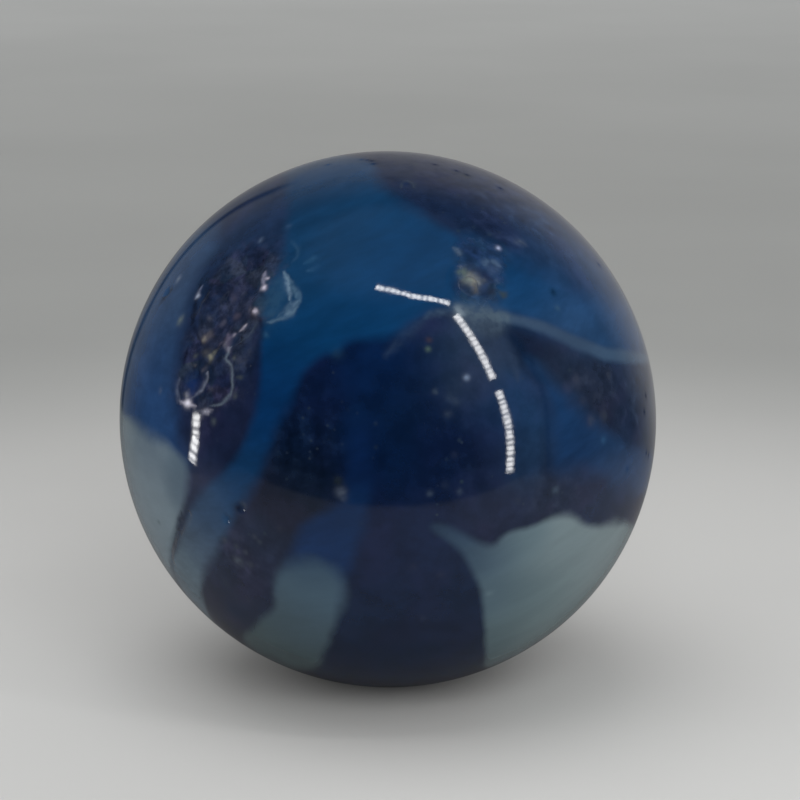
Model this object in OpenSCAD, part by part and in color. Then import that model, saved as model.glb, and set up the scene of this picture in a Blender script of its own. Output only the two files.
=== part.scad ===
// Glass marble, a veneered player: one ball of dark amethyst glass with thin fields of blue and
// milky glass fused flush into its skin, and the chips, moons, pits and crease that play has left.
// Millimetres, origin at the centre of the ball, front at -Y, +Z up.

/* [Ball] */
// Diameter of the ball
ball_d = 16; // [13:0.5:25]
// How far the flatter shoulder lies below the round of the ball
shoulder_worn = 0.1; // [0.04:0.02:0.3]

/* [Chipped patch] */
// Width of the deepest scoop of the chipped patch
chip_w = 1.9; // [1:0.1:2.6]
// Depth of that scoop below its rim
chip_depth = 0.17; // [0.06:0.01:0.35]
// Width of the scoop that leads off it towards the crown
spall_w = 1.2; // [0.6:0.1:1.8]
// Depth of that scoop below its rim
spall_depth = 0.09; // [0.04:0.01:0.2]

/* [Moons] */
// Width of the big moon, the bruise beside the chipped patch
moon_w = 1.8; // [1.3:0.1:2.6]
// Width of the glass left standing in the big moon
moon_land_w = 1.1; // [0.6:0.1:1.2]
// Width of the two ring moons below the chipped patch
ring_w = 1.2; // [0.9:0.1:1.7]
// Width of the glass left standing in each ring moon
ring_land_w = 0.7; // [0.3:0.1:0.8]
// Depth of the big moon below its rim
moon_depth = 0.09; // [0.04:0.01:0.2]
// Depth of each ring moon below its rim
ring_depth = 0.05; // [0.03:0.01:0.12]

/* [Stone] */
// Width of the pit around the stone
pit_w = 1.6; // [1:0.1:2.4]
// Depth of that pit below its rim
pit_depth = 0.2; // [0.08:0.01:0.35]
// Width of the stone, a grain of unmelted sand
stone_w = 0.45; // [0.2:0.05:0.7]

/* [Pecks and crease] */
// Width of each small peck
peck_w = 0.3; // [0.15:0.05:0.6]
// Depth of each small peck below its rim
peck_depth = 0.07; // [0.03:0.01:0.15]
// Width across the crease
crease_w = 0.36; // [0.2:0.02:0.6]
// Depth of the crease
crease_depth = 0.07; // [0.03:0.01:0.12]

/* [Hidden] */
$fn = 96;

ball_r = ball_d / 2;
// The front view looks level with this latitude, and the fields of colour are drawn in it.
view_lat = 13;
// Steps between two drawn points of a field, so that its edge runs smoothly
edge_steps = 2;

// Places are [longitude, latitude] in degrees: longitude 0 is the front, positive to the right.
shoulder_place = [91, 48];
chip_place = [-41, 31];
chip_side_place = [-39, 37];
spall_place = [-41, 42];
moon_place = [-31, 37];
ring_places = [[-47, 16], [-38.5, 18]];
stone_place = [22, 40];
peck_places = [[-31, -7], [-35, -10], [-70, 32], [-32, 21], [36, 47], [61, 71], [-19, 80],
               [72, -4], [69, 6], [-30, 47], [120, 12], [-150, 35], [170, -30]];
crease_place = [-49, -14];
// Turn of the crease about the outward line, and the side on which each kind of moon keeps its land
crease_turn = 52;
moon_land_turn = 160;
ring_land_turn = 200;
// How many times wider a moon's land is at its root than far above it
land_taper = 1.2;
// Turn of the stone about the outward line, and its tilt in the pit
stone_turn = 20;
stone_tilt = [35, 40, 0];

// Colours of the glass, of its freshly broken faces and of the stone
dark_glass = "#241f38";
blue_glass = "#164a86";
milky_glass = "#93a9b0";
broken_glass = "#3a3152";
stone_colour = "#c9bfa4";

// Outlines of the fields, as shares of the ball's radius: [to the right, up], in the front view.
// Those of the back half are drawn in the same view, as if through the ball.
crown_band = [[-0.38, 0.58], [-0.39, 0.74], [-0.38, 0.9], [-0.2, 0.93], [-0.05, 0.9], [0.05, 0.83],
              [0.19, 0.74], [0.31, 0.68], [0.53, 0.57], [0.72, 0.48], [1.15, 0.27], [1.15, 0.19],
              [0.96, 0.22], [0.84, 0.21], [0.75, 0.26], [0.66, 0.32], [0.55, 0.36], [0.42, 0.38],
              [0.23, 0.39], [0.12, 0.35], [0.04, 0.3], [-0.07, 0.27], [-0.2, 0.28], [-0.36, 0.42]];
left_ribbon = [[-0.38, 0.6], [-0.43, 0.44], [-0.48, 0.25], [-0.51, 0.02], [-0.53, -0.1], [-0.61, -0.22],
               [-0.7, -0.33], [-0.77, -0.45], [-0.8, -0.57], [-0.76, -0.67], [-0.7, -0.7], [-0.68, -0.57],
               [-0.64, -0.45], [-0.55, -0.33], [-0.51, -0.22], [-0.43, -0.1], [-0.4, 0.02],
               [-0.36, 0.14], [-0.32, 0.25], [-0.18, 0.3], [-0.2, 0.45]];
middle_ribbon = [[-0.12, 0.32], [-0.12, 0.07], [-0.14, -0.12], [-0.16, -0.32], [-0.24, -0.36],
                 [-0.34, -0.5], [-0.35, -0.56], [-0.17, -0.55], [-0.1, -0.38], [0.04, -0.33],
                 [0.045, -0.12], [0.04, 0.07], [0.06, 0.32]];
right_wedge = [[0.43, 0.37], [0.5, 0.2], [0.68, 0.03], [0.81, -0.04], [0.91, -0.11], [1.1, -0.2],
               [1.1, -0.36], [0.8, -0.28], [0.6, -0.18], [0.47, -0.02], [0.42, 0.2]];
left_cheek = [[-1.1, 0.5], [-0.84, 0.5], [-0.75, 0.44], [-0.73, 0.2], [-0.72, -0.02], [-0.78, -0.06],
              [-0.9, -0.02], [-1.1, 0.02]];
milk_left = [[-1.15, -0.04], [-0.98, -0.01], [-0.88, -0.055], [-0.78, -0.12], [-0.74, -0.23],
             [-0.76, -0.34], [-0.8, -0.45], [-0.8, -0.6], [-1.1, -0.7]];
milk_middle = [[-0.36, -0.53], [-0.29, -0.51], [-0.21, -0.55], [-0.16, -0.61], [-0.15, -0.7],
               [-0.18, -0.81], [-0.24, -0.93], [-0.36, -1.1], [-0.6, -0.9], [-0.52, -0.78],
               [-0.45, -0.71], [-0.41, -0.63]];
milk_right = [[0.17, -0.4], [0.23, -0.42], [0.31, -0.45], [0.37, -0.48], [0.42, -0.46], [0.5, -0.41],
              [0.59, -0.37], [0.66, -0.35], [0.72, -0.36], [0.78, -0.39], [0.9, -0.4], [1.1, -0.5],
              [0.9, -1.1], [0.36, -1.1], [0.35, -0.85], [0.33, -0.66], [0.28, -0.54]];
milk_thread = [[0.4, 0.4], [0.55, 0.385], [0.66, 0.34], [0.76, 0.28], [0.85, 0.23], [1.15, 0.22],
               [1.15, 0.19], [0.85, 0.2], [0.75, 0.25], [0.65, 0.305], [0.54, 0.355]];
crown_back = [[1.15, 0.28], [0.92, 0.383], [0.74, 0.43], [0.42, 0.5], [0.1, 0.49], [-0.2, 0.4],
              [-0.45, 0.2], [-0.5, 0.1], [-0.3, 0.12], [0, 0.22], [0.4, 0.22], [0.8, 0.17],
              [0.976, 0.217], [1.15, 0.18]];
cheek_back = [[-1.1, 0.49], [-0.866, 0.5], [-0.72, 0.44], [-0.63, 0.25], [-0.75, 0.08], [-1, 0], [-1.1, -0.04]];
wedge_back = [[1.15, -0.19], [0.985, -0.145], [0.8, -0.14], [0.58, -0.22], [0.75, -0.3], [0.95, -0.32],
              [1.15, -0.37]];
milk_left_back = [[-1.15, 0], [-1, -0.013], [-0.8, -0.09], [-0.6, -0.27], [-0.35, -0.38], [-0.1, -0.42],
                  [-0.2, -0.5], [-0.45, -0.56], [-0.7, -0.6], [-0.8, -0.6], [-1, -0.8]];
milk_middle_back = [[-0.62, -0.92], [-0.56, -0.83], [-0.45, -0.78], [-0.3, -0.8], [-0.21, -0.87],
                    [-0.265, -0.965], [-0.3, -1.1]];
milk_right_back = [[1.15, -0.5], [0.91, -0.405], [0.74, -0.36], [0.5, -0.4], [0.24, -0.5], [0.05, -0.62],
                   [0.08, -0.78], [0.22, -0.88], [0.355, -0.935], [0.4, -1.15], [1.1, -1.1]];
thread_back = [[1.15, 0.22], [0.974, 0.226], [0.85, 0.215], [0.7, 0.2], [0.85, 0.19], [0.98, 0.196],
               [1.15, 0.18]];
blue_front = [crown_band, left_ribbon, middle_ribbon, right_wedge, left_cheek];
blue_back = [crown_back, cheek_back, wedge_back];
milky_front = [milk_left, milk_middle, milk_right, milk_thread];
milky_back = [milk_left_back, milk_middle_back, milk_right_back, thread_back];

// A point of a smooth curve between b and c, with a and d as its neighbours
function glide(a, b, c, d, t) =
    b + t / 2 * (c - a + t * (2 * a - 5 * b + 4 * c - d + t * (3 * (b - c) + d - a)));
// The closed outline through the drawn points, smoothed, in millimetres
function smooth_outline(drawn) =
    let(count = len(drawn))
    [for (i = [0 : count - 1], k = [0 : edge_steps - 1])
         ball_r * glide(drawn[(i + count - 1) % count], drawn[i], drawn[(i + 1) % count],
                        drawn[(i + 2) % count], k / edge_steps)];
// Height of the plane through a circle of width w drawn on the ball
function rim_height(w) = sqrt(ball_r * ball_r - w * w / 4);
// Radius of the sphere that scoops out a hollow of width w and depth h below its rim
function scoop_r(w, h) = (w * w / 4 + h * h) / (2 * h);

// Turns its children so that their +Z points outwards at a place on the ball
module facing(place, turn = 0)
    rotate([90 - place[1], 0, place[0]]) rotate([0, 0, turn]) children();

// The cutter of a shallow shell-shaped hollow of width w and depth h below its rim
module scoop(place, w, h)
    facing(place) translate([0, 0, rim_height(w) - h + scoop_r(w, h)]) sphere(scoop_r(w, h));

// The cutter of a moon: a scoop that leaves a land standing, which leans to one side of it
module moon(place, w, h, land_w, turn)
    difference() {
        scoop(place, w, h);
        facing(place, turn)
            translate([(w - land_w) / 4, 0, rim_height(w) - 2 * h])
                cylinder(h = 2 * w, r1 = land_w / 2, r2 = land_w / 2 / land_taper);
    }

// The fields of one colour: front ones run from the middle plane forwards, back ones from it backwards
module fields(front, back)
    facing([0, view_lat]) {
        linear_extrude(ball_d) for (drawn = front) polygon(smooth_outline(drawn));
        mirror([0, 0, 1]) linear_extrude(ball_d) for (drawn = back) polygon(smooth_outline(drawn));
    }

module blue_fields() fields(blue_front, blue_back);

module milky_fields() fields(milky_front, milky_back);

// The ball with one slightly flatter shoulder
module round_glass()
    intersection() {
        sphere(ball_r);
        facing(shoulder_place) translate([0, 0, -shoulder_worn]) sphere(ball_r);
    }

// The ball as it left the mould: dark glass with the blue and milky fields flush in its skin
module coloured_ball() {
    color(dark_glass) difference() {
        round_glass();
        blue_fields();
        milky_fields();
    }
    color(blue_glass) difference() {
        intersection() {
            round_glass();
            blue_fields();
        }
        milky_fields();
    }
    color(milky_glass) intersection() {
        round_glass();
        milky_fields();
    }
}

// Everything that play has knocked out of the skin
module wear() {
    scoop(chip_place, chip_w, chip_depth);
    scoop(chip_side_place, spall_w, chip_depth);
    scoop(spall_place, spall_w, spall_depth);
    moon(moon_place, moon_w, moon_depth, moon_land_w, moon_land_turn);
    for (place = ring_places) moon(place, ring_w, ring_depth, ring_land_w, ring_land_turn);
    scoop(stone_place, pit_w, pit_depth);
    for (place = peck_places) scoop(place, peck_w, peck_depth);
    crease();
}

// A short groove, the cut of a thin cylinder that lies across the outward line
module crease()
    facing(crease_place, crease_turn)
        translate([0, 0, ball_r - crease_depth + scoop_r(crease_w, crease_depth)])
            rotate([0, 90, 0])
                cylinder(h = ball_r, r = scoop_r(crease_w, crease_depth), center = true);

// The unmelted grain, sunk by half into the floor of its pit
module stone()
    facing(stone_place, stone_turn) translate([0, 0, rim_height(pit_w) - pit_depth])
        rotate(stone_tilt) cube(stone_w, center = true);

module marble() {
    difference() {
        coloured_ball();
        color(broken_glass) wear();
    }
    color(stone_colour) stone();
}

marble();
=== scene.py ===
"""Looks of the glass marble: its worn skin, its fields of colour, the floor, the light and the camera.

Lengths are in millimetres and become metres where they reach Blender. A place on the ball is
(longitude, latitude) in degrees: longitude 0 faces the camera, and positive longitudes lie to the right.
The colours of tints, strokes and spots are linear, in thousandths.
"""

import math
import random

import bmesh
import bpy
import numpy as np
from mathutils import Matrix, Vector, noise


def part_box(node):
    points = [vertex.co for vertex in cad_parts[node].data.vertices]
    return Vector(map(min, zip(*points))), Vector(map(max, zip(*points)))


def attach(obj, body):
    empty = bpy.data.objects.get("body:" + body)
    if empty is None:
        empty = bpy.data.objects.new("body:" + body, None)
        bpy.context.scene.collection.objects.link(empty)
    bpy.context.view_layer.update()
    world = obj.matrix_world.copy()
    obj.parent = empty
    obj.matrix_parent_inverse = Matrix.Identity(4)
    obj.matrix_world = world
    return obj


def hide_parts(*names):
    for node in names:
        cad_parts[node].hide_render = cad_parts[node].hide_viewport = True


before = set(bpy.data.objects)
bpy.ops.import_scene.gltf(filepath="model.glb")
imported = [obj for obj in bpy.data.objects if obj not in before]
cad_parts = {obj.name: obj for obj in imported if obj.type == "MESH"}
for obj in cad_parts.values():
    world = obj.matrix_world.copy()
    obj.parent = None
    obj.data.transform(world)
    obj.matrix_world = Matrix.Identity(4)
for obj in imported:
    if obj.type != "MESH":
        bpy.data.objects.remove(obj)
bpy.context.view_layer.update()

MM = 0.001
LOW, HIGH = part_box("marble")
BALL_R = (HIGH.y - LOW.y) / 2 / MM

# Sizes of the wear, as the CAD model has them
SHOULDER_WORN, SHOULDER_BLEND = 0.1, 0.1
CHIP_W, CHIP_DEPTH = 1.9, 0.17
SPALL_W, SPALL_DEPTH = 1.2, 0.09
MOON_W, MOON_LAND_W, MOON_DEPTH = 1.8, 1.1, 0.09
RING_W, RING_LAND_W, RING_DEPTH = 1.2, 0.7, 0.05
PIT_W, PIT_DEPTH, STONE_W = 1.6, 0.2, 0.45
PECK_W, PECK_DEPTH, RIM_PECK_DEPTH = 0.3, 0.07, 0.03
CREASE_W, CREASE_DEPTH = 0.36, 0.07

# Sizes that only the looks have: the soft edge of a land, and the foot of the grain as a share of its width
LAND_BLEND, STONE_FOOT = 0.36, 0.62

# Places of the wear
SHOULDER = (91, 48)
CHIP, CHIP_SIDE, SPALL = (-41, 31), (-39, 37), (-41, 42)
MOON, RINGS = (-31, 37), [(-47, 16), (-38.5, 18)]
# The way the lands in the moons lean, in degrees from the right
MOON_TURN, RING_TURN = 160, 200
STONE = (22, 40)
PECKS = [
    (-31, -7), (-35, -10), (-70, 32), (-32, 21), (36, 47), (61, 71), (-19, 80), (72, -4), (69, 6),
    (-30, 47), (120, 12), (-150, 35), (170, -30),
]
RIM_PECKS = [
    (-46, 82), (-36, 82.3), (-27, 82), (60, 73.5), (54, 78), (68, 64), (78, 38), (71.5, 9), (70, -3),
    (59, -4), (-67, 76), (10, 70),
]
CREASE = [(-46, -11), (-51, -16), (-56, -20), (-62, -26)]
# Small hollows in the chipped patch: how many, round which place, how far in degrees, widths and depths
FLAKES = (26, (-42, 33), 9.5, (0.3, 1), (0.03, 0.1))
FLAKE_SEED = 5
# Noises that make the rims ragged: size and amount in millimetres, and seed
RAGGED = [(0.35, 0.1, 3), (0.12, 0.03, 7)]
NOISE_SEED = 4
# Degrees in which the raggedness fades out at the border of a fine zone
RAGGED_FADE = 4

# Outlines of the blue fields, in order round each one
CROWN_BAND = [
    (23, 52), (16, 57.4), (10.5, 60.6), (4, 64.4), (-3, 68.4), (-8, 73), (-16, 79), (-75, 83), (-118, 75),
    (-92, 68), (-74, 67), (-54.5, 63.5), (-40.5, 56.5), (-35, 49.5), (-32, 43), (-30, 38), (-20, 32),
    (-12.5, 28), (-6.5, 28.5), (-1, 29), (2.5, 30), (6, 32.5), (10, 34.5), (15, 35), (22.5, 34.5), (36, 31),
    (46, 30), (40, 39), (30, 47),
]
SHOULDER_BAND = [
    (24, 51), (30, 49), (36.5, 47), (43.5, 43), (51, 38.5), (58, 34), (68, 31), (85, 29), (105, 29),
    (125, 26), (150, 20), (168, 10), (168, 6), (150, 6), (124, 8), (100, 13), (79, 17), (60, 20),
    (49.5, 23), (36, 30), (20, 36),
]
LEFT_RIBBON = [
    (-32, 42), (-31, 32), (-29.5, 26), (-28, 19), (-28.5, 11), (-31.5, 4), (-35.5, -0.5), (-40.5, -5),
    (-45.5, -10.5), (-49.5, -15), (-54.5, -21), (-62, -27), (-69, -38), (-74, -47), (-66, -46), (-59, -40),
    (-53, -32), (-47, -25.5), (-41.5, -19.5), (-36.5, -14.5), (-33, -9.5), (-30, -5), (-27, -0.5),
    (-24.5, 6), (-22, 12), (-20.5, 15.5), (-19.5, 19), (-18, 22), (-14.5, 25), (-10, 27), (-10, 42),
]
MIDDLE_RIBBON = [
    (-7.5, 12), (-7.5, 6.5), (-8, 0.5), (-8.5, -3.5), (-11, -5), (-14.5, -7), (-17.5, -9.5), (-19, -12.5),
    (-21, -18), (-26, -27), (-14, -27), (-9, -20), (-7.5, -16), (-6, -12), (-5, -8), (-4, -4.5), (-3, 1),
    (-3, 6.5), (-3.5, 12),
]
RIGHT_WEDGE = [
    (31.5, 23), (33, 20), (34.5, 15.5), (35, 10.5), (35, 5.5), (35, 0.5), (40.5, -0.5), (46, -2),
    (50.5, -4), (55, -6.5), (61, -9), (70, -12), (90, -16), (108, -14), (90, -8), (76, -4), (60, 1),
    (53, 4.5), (48, 7.5), (41.5, 13), (37, 17), (34, 21),
]
LEFT_CHEEK = [
    (-62, 46), (-60, 40), (-58.5, 34.5), (-57, 30), (-55, 26), (-53.5, 22), (-51.5, 16), (-50, 10),
    (-48, 4.5), (-46, 0), (-60, -1), (-104, 0), (-108, 12), (-112, 22), (-114, 32), (-112, 42), (-85, 48),
]
# Each field with the softness of its edge in millimetres
BLUE_FIELDS = [(CROWN_BAND, 0.25), (SHOULDER_BAND, 0.5), (LEFT_RIBBON, 0.17), (MIDDLE_RIBBON, 0.2),
               (RIGHT_WEDGE, 0.22), (LEFT_CHEEK, 0.45)]

# Outlines of the milky fields
MILK_LEFT = [
    (-104, 8), (-92, 7), (-77.5, 4), (-69.5, 4.5), (-63, 4), (-58, 3.5), (-53.5, 3.5), (-49.5, 2.5),
    (-46.2, 0.8), (-44.8, -1.6), (-45.2, -4.8), (-46.6, -8), (-49, -12), (-52.6, -16.4), (-57.5, -21.5),
    (-63, -27), (-72, -36), (-84, -40), (-92, -40), (-96, -33), (-100, -23), (-105, -14), (-107, -3),
]
MILK_MIDDLE = [
    (-25, -22), (-22, -19), (-17, -17), (-12.5, -18), (-10.5, -20), (-9.5, -23), (-10.8, -27), (-12.6, -32),
    (-14.8, -37.6), (-18, -43), (-26, -53), (-42, -60), (-52, -60), (-60, -57), (-54, -50), (-47, -44),
    (-38, -38.5), (-33, -34.5), (-28, -31), (-26.5, -27),
]
MILK_RIGHT = [
    (8.5, -9.5), (9, -8.5), (11.5, -9), (15, -11), (18.8, -13.2), (22, -14.2), (24.2, -12.2), (27.2, -11.4),
    (30.2, -11.2), (34.4, -10), (38.4, -10), (41.2, -10.8), (45.2, -13.2), (50, -14.6), (58, -15.6),
    (68, -18.5), (84, -24), (97, -31), (109, -40), (102, -50), (84, -60), (58, -62), (39, -56), (30, -46),
    (27, -41.2), (24, -34.2), (21.8, -27.8), (20, -23.5), (17.5, -19), (15, -15), (11.5, -12),
]
MILK_THREAD = [
    (27, 33.2), (32, 32.2), (37, 30.6), (42, 28.6), (46.2, 26.4), (50.4, 24.6), (55.4, 22.4), (61.4, 20.8),
    (73, 18), (90, 14), (104, 12), (90, 12.5), (72.5, 15.8), (60.5, 18.3), (54, 20), (49.4, 22), (45, 23.8),
    (41.5, 25.8), (36.5, 28.4), (31.5, 30.2), (27, 31.6),
]
MILK_FIELDS = [(MILK_LEFT, 0.17), (MILK_MIDDLE, 0.2), (MILK_RIGHT, 0.15), (MILK_THREAD, 0.12)]

# Where the edges are softer: longitude, latitude, reach in degrees, how much softer
SOFTER = [
    (-60, 5, 8, 1.5), (-45.5, -3, 4, 0.6), (-18, -18, 5, 1.2), (-5, 12, 6, 3), (42, -2, 7, 1.6),
    (-22, 12, 6, 0.8), (-28, -5, 7, 0.9), (3, 65, 8, 0.8), (-9, -20, 5, 0.6), (45, 44, 8, 0.6),
    (35, 22, 4, 0.8), (20, -14, 5, 0.3), (-42, -21, 7, 0.9), (-4, -8, 5, 0.9), (-11, -28, 4, 0.8),
    (58, -8, 7, 2.2), (41, 12, 8, 1.9),
]

# Outlines of the knapped patch and of the speckled glass round the stone
CHIP_PATCH = [
    (-55.5, 41.5), (-55, 37), (-53, 33), (-51.5, 28), (-51.5, 23.5), (-51.5, 19), (-51.5, 15), (-49.5, 12),
    (-42, 11.5), (-35, 13.5), (-31.5, 17), (-31.5, 21.5), (-31, 27), (-30.5, 30.5), (-31, 35.5), (-32, 40),
    (-31, 44.5), (-34, 48), (-42.5, 49), (-50, 46),
]
STONE_PATCH = [
    (22, 50.5), (27, 51), (34, 49.5), (36.5, 47), (34.5, 43), (30.5, 39), (28, 35.5), (24, 35), (19, 36.5),
    (18, 39.5), (19, 43.5), (20, 47.5),
]

# Tints: longitude, latitude, reach in degrees, colour
BLUE_TINTS = [
    (-32, 58, 13, (6.5, 32, 82)), (-30, 70, 8, (8, 37, 94)), (-8, 60, 12, (3.5, 30, 80)),
    (10, 53, 11, (2.8, 28, 82)), (-20, 44, 11, (6, 37, 97)), (5, 42, 13, (4.5, 35, 102)),
    (20, 42, 9, (7, 37, 100)), (-8, 33, 10, (1.2, 26, 82)), (-24, 31, 8, (1.5, 26, 80)),
    (-26, 15, 12, (1.5, 23, 84)), (-30, -2, 8, (6, 33, 90)), (-40, -9, 6, (24, 56, 115)),
    (-45, -19, 7, (46, 77, 125)), (-55, -25, 7, (85, 130, 170)), (-56, -35, 12, (100, 145, 185)),
    (-5, 6, 8, (2, 10.5, 45)), (-7, -6, 5, (4, 18, 59)), (-15, -13, 8, (5, 22, 75)),
    (38, 9, 8, (6, 27, 80)), (43, 2, 8, (8.5, 26, 72)), (54, 0, 7, (12, 34, 84)),
    (60, -8, 10, (22, 46, 105)), (62, 27, 16, (17, 49, 115)), (40, 42, 8, (3, 30, 90)),
    (60, 38, 9, (12, 45, 120)), (100, 20, 30, (10, 40, 110)), (-60, 12, 12, (20, 60, 165)),
    (-75, 30, 13, (28, 65, 150)), (-59, 32, 8, (30, 56, 110)), (-55, 20, 6, (18, 42, 100)),
    (-100, 20, 25, (15, 50, 110)), (150, 12, 30, (6, 35, 100)),
]
MILK_TINTS = [
    (-66, -14, 14, (170, 226, 268)), (-60, 1, 6, (120, 165, 215)), (-47.5, -5, 5, (75, 115, 160)),
    (-100, -15, 25, (170, 220, 250)), (-16, -18, 5, (30, 60, 100)), (-17, -26, 7, (54, 94, 132)),
    (-24, -36, 8, (52, 84, 110)), (-40, -45, 12, (55, 85, 95)), (9, -9, 5, (13, 30, 60)),
    (14, -12, 4, (26, 50, 85)), (19, -17, 4, (36, 65, 100)), (24, -16, 4, (58, 94, 126)),
    (30, -14, 5, (85, 130, 155)), (23.5, -27, 6, (58, 96, 128)), (32, -28, 7, (80, 124, 148)),
    (42, -17, 9, (135, 180, 197)), (42, -31, 9, (102, 150, 165)), (57, -25, 12, (195, 247, 262)),
    (58, -42, 14, (140, 190, 200)), (28, -45, 9, (68, 108, 128)), (90, -40, 30, (120, 165, 185)),
    (32, 31, 6, (30, 55, 98)), (45, 25, 7, (28, 52, 95)), (60, 20, 10, (36, 68, 120)),
    (85, 15, 12, (45, 80, 135)),
]
GLASS_TINTS = [
    (-58, 52, 16, (12.5, 29, 70)), (-45, 62, 10, (8, 21, 58)), (20, 68, 18, (6.8, 16, 43)),
    (35, 52, 10, (5.6, 13.5, 37)), (55, 45, 12, (12, 32, 79)), (68, 38, 12, (14, 45, 110)),
    (-52, 20, 10, (10, 22, 60)), (-37, 10, 7, (8, 13, 38)), (-34, 3, 6, (7, 13, 37)),
    (-42, 0, 5, (17, 26, 62)), (-16, 18, 7, (2.2, 7.5, 31)), (-17, 8, 7, (1.8, 6.5, 22)),
    (-17, 0, 6, (2, 6.5, 18)), (-4, 22, 6, (1.2, 9, 39)), (2, 12, 8, (1.4, 7.8, 29)),
    (-3, 4, 7, (1.3, 7.5, 31)), (9, 18, 6, (3, 10.5, 36)), (12, 4, 7, (2, 7, 27)),
    (18, 21, 6, (12, 26, 56)), (22, 12, 5, (6, 15, 46)), (20, 2, 5, (4, 11, 32)), (22, 26, 4, (18, 30, 58)),
    (27, 14, 5, (9, 30, 76)), (27, 3, 5, (9.5, 26, 62)), (31, 27, 4, (5, 12, 30)),
    (40, 20, 5, (10, 18, 38)), (50, 17, 8, (13, 20, 40)), (68, 8, 9, (13, 26, 58)),
    (50, -8, 9, (13, 22, 50)), (36, -5, 6, (9.5, 16, 36)), (-36, -18, 9, (13, 21, 48)),
    (-30, -30, 9, (12, 19, 44)), (-20, -6, 7, (8, 13, 28)), (0, -16, 10, (5.5, 12.5, 40)),
    (5, -40, 20, (5, 13, 36)), (22, -6, 7, (9, 15, 38)), (150, 45, 50, (8, 14, 46)),
    (180, -20, 45, (5, 9, 30)), (-140, 0, 40, (7, 11, 35)),
]

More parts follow.
